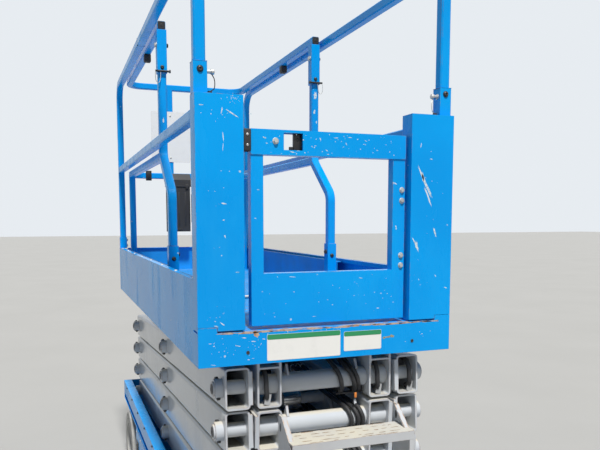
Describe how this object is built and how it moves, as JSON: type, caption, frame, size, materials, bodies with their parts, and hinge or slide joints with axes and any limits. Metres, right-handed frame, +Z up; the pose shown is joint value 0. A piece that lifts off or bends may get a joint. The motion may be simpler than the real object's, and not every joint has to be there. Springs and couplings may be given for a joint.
{
  "type": "scissor lift",
  "caption": "Narrow electric slab scissor lift with an entry gate, guard rails, a slide-out deck extension and a folding arm stack on steered wheels.",
  "frame": {"origin": "floor level under the centre of the machine's outer box", "axes": "+X to the right seen from the entry end, +Y from the entry ladder to the steered wheels, +Z up"},
  "size_m": [0.81, 2.44, 2.2714],
  "materials": {
    "blue_paint": "worn gloss",
    "arm_grey": "worn gloss",
    "step_grey": "worn satin",
    "tyre_rubber": "matte",
    "rim_grey": "satin",
    "dark_steel": "satin",
    "rod_chrome": "polished",
    "black_plastic": "matte",
    "battery_case": "matte",
    "hydraulic_block": "satin"
  },
  "bodies": {
    "chassis": {"chassis_frame": "blue_paint", "slide_tracks": "blue_paint", "rear_axles": "blue_paint", "front_axle": "blue_paint", "entry_ladder": "step_grey"},
    "wheel_rear_left": {"tyre_rear_left": "tyre_rubber", "rim_rear_left": "rim_grey"},
    "wheel_rear_right": {"tyre_rear_right": "tyre_rubber", "rim_rear_right": "rim_grey"},
    "wheel_front_left": {"tyre_front_left": "tyre_rubber", "rim_front_left": "rim_grey"},
    "wheel_front_right": {"tyre_front_right": "tyre_rubber", "rim_front_right": "rim_grey"},
    "knuckle_left": {"knuckle_left": "dark_steel"},
    "knuckle_right": {"knuckle_right": "dark_steel"},
    "tie_rod": {"tie_rod": "dark_steel"},
    "tray_left": {"module_tray_left": "blue_paint", "battery_pack": "battery_case"},
    "tray_right": {"module_tray_right": "blue_paint", "hydraulic_unit": "hydraulic_block"},
    "guard_left": {"pothole_guard_left": "blue_paint"},
    "guard_right": {"pothole_guard_right": "blue_paint"},
    "cylinder_barrel": {"cylinder_barrel": "dark_steel"},
    "cylinder_rod": {"cylinder_rod": "rod_chrome"},
    "platform": {"platform_deck": "blue_paint", "platform_pivots": "arm_grey", "platform_tracks": "blue_paint", "fascia": "blue_paint", "entry_column_left": "blue_paint", "entry_column_right": "blue_paint", "side_panel_left": "blue_paint", "side_panel_right": "blue_paint", "guard_rail_left": "blue_paint", "guard_rail_right": "blue_paint"},
    "gate": {"gate": "blue_paint"},
    "extension": {"extension_deck": "blue_paint", "extension_rails": "blue_paint", "control_box": "black_plastic", "document_box": "black_plastic"},
    "inner_arm_1": {"inner_arm_1": "arm_grey"},
    "outer_arm_1": {"outer_arm_1": "arm_grey"},
    "inner_arm_2": {"inner_arm_2": "arm_grey"},
    "outer_arm_2": {"outer_arm_2": "arm_grey"},
    "inner_arm_3": {"inner_arm_3": "arm_grey"},
    "outer_arm_3": {"outer_arm_3": "arm_grey"},
    "inner_arm_4": {"inner_arm_4": "arm_grey"},
    "outer_arm_4": {"outer_arm_4": "arm_grey"}
  },
  "joints": [
    {"name": "rear_wheel_left_roll", "type": "hinge", "parent": "chassis", "child": "wheel_rear_left", "pos_m": [-0.3415, -0.925, 0.1905], "axis": [1, 0, 0], "continuous": true},
    {"name": "steer_left", "type": "hinge", "parent": "chassis", "child": "knuckle_left", "pos_m": [-0.215, 0.925, 0.1905], "axis": [0, 0, 1], "range_deg": [-60.05, 60.05]},
    {"name": "front_wheel_left_roll", "type": "hinge", "parent": "knuckle_left", "child": "wheel_front_left", "pos_m": [-0.3415, 0.925, 0.1905], "axis": [1, 0, 0], "continuous": true},
    {"name": "tray_left_swing", "type": "hinge", "parent": "chassis", "child": "tray_left", "pos_m": [-0.378, -0.503, 0.27], "axis": [0, 0, 1], "range_deg": [0, 90]},
    {"name": "guard_left_drop", "type": "hinge", "parent": "chassis", "child": "guard_left", "pos_m": [-0.372, 0.06, 0.138], "axis": [0, 1, 0], "range_deg": [0, 90]},
    {"name": "rear_wheel_right_roll", "type": "hinge", "parent": "chassis", "child": "wheel_rear_right", "pos_m": [0.3415, -0.925, 0.1905], "axis": [1, 0, 0], "continuous": true},
    {"name": "steer_right", "type": "hinge", "parent": "chassis", "child": "knuckle_right", "pos_m": [0.215, 0.925, 0.1905], "axis": [0, 0, 1], "range_deg": [-60, 60]},
    {"name": "front_wheel_right_roll", "type": "hinge", "parent": "knuckle_right", "child": "wheel_front_right", "pos_m": [0.3415, 0.925, 0.1905], "axis": [1, 0, 0], "continuous": true},
    {"name": "tray_right_swing", "type": "hinge", "parent": "chassis", "child": "tray_right", "pos_m": [0.378, -0.503, 0.27], "axis": [0, 0, -1], "range_deg": [0, 90]},
    {"name": "guard_right_drop", "type": "hinge", "parent": "chassis", "child": "guard_right", "pos_m": [0.372, 0.06, 0.138], "axis": [0, -1, 0], "range_deg": [0, 90]},
    {"name": "tie_rod_pivot", "type": "hinge", "parent": "knuckle_right", "child": "tie_rod", "pos_m": [0.215, 0.805, 0.122], "axis": [0, 0, 1], "range_deg": [-60.05, 60.05]},
    {"name": "scissor_lift", "type": "hinge", "parent": "chassis", "child": "inner_arm_1", "pos_m": [0, -0.968, 0.46], "axis": [1, 0, 0], "range_deg": [0, 58.4]},
    {"name": "centre_pin_1", "type": "hinge", "parent": "inner_arm_1", "child": "outer_arm_1", "pos_m": [0, 0.057, 0.525], "axis": [1, 0, 0], "range_deg": [-116.85, 0.05]},
    {"name": "rear_pin_1", "type": "hinge", "parent": "outer_arm_1", "child": "inner_arm_2", "pos_m": [0, -0.968, 0.59], "axis": [1, 0, 0], "range_deg": [-0.05, 116.85]},
    {"name": "centre_pin_2", "type": "hinge", "parent": "inner_arm_2", "child": "outer_arm_2", "pos_m": [0, 0.057, 0.655], "axis": [1, 0, 0], "range_deg": [-116.85, 0.05]},
    {"name": "rear_pin_2", "type": "hinge", "parent": "outer_arm_2", "child": "inner_arm_3", "pos_m": [0, -0.968, 0.72], "axis": [1, 0, 0], "range_deg": [-0.05, 116.85]},
    {"name": "centre_pin_3", "type": "hinge", "parent": "inner_arm_3", "child": "outer_arm_3", "pos_m": [0, 0.057, 0.785], "axis": [1, 0, 0], "range_deg": [-116.85, 0.05]},
    {"name": "rear_pin_3", "type": "hinge", "parent": "outer_arm_3", "child": "inner_arm_4", "pos_m": [0, -0.968, 0.85], "axis": [1, 0, 0], "range_deg": [-0.05, 116.85]},
    {"name": "centre_pin_4", "type": "hinge", "parent": "inner_arm_4", "child": "outer_arm_4", "pos_m": [0, 0.057, 0.915], "axis": [1, 0, 0], "range_deg": [-116.85, 0.05]},
    {"name": "platform_pin", "type": "hinge", "parent": "outer_arm_4", "child": "platform", "pos_m": [0, -0.968, 0.98], "axis": [1, 0, 0], "range_deg": [-0.05, 58.45]},
    {"name": "cylinder_foot", "type": "hinge", "parent": "inner_arm_1", "child": "cylinder_barrel", "pos_m": [0, 0.92831, 0.58025], "axis": [1, 0, 0], "range_deg": [-118.94, 0.05]},
    {"name": "cylinder_stroke", "type": "slide", "parent": "cylinder_barrel", "child": "cylinder_rod", "axis": [0, -0.9872, 0.1592], "range_m": [-0.001, 0.7896]},
    {"name": "gate_swing", "type": "hinge", "parent": "platform", "child": "gate", "pos_m": [0.252, -0.994, 1.45], "axis": [0, 0, -1], "range_deg": [0, 90]},
    {"name": "extension_slide", "type": "slide", "parent": "platform", "child": "extension", "axis": [0, 1, 0], "range_m": [0, 0.91]}
  ],
  "couplings": [
    {"joint": "steer_left", "follows": "steer_right", "ratio": 1},
    {"joint": "tie_rod_pivot", "follows": "steer_right", "ratio": -1},
    {"joint": "centre_pin_1", "follows": "scissor_lift", "ratio": -2},
    {"joint": "rear_pin_1", "follows": "scissor_lift", "ratio": 2},
    {"joint": "centre_pin_2", "follows": "scissor_lift", "ratio": -2},
    {"joint": "rear_pin_2", "follows": "scissor_lift", "ratio": 2},
    {"joint": "centre_pin_3", "follows": "scissor_lift", "ratio": -2},
    {"joint": "rear_pin_3", "follows": "scissor_lift", "ratio": 2},
    {"joint": "centre_pin_4", "follows": "scissor_lift", "ratio": -2},
    {"joint": "platform_pin", "follows": "scissor_lift", "ratio": 1},
    {"joint": "cylinder_foot", "follows": "scissor_lift", "ratio": -2.0358},
    {"joint": "cylinder_stroke", "follows": "scissor_lift", "m_per_rad": 0.77369}
  ]
}
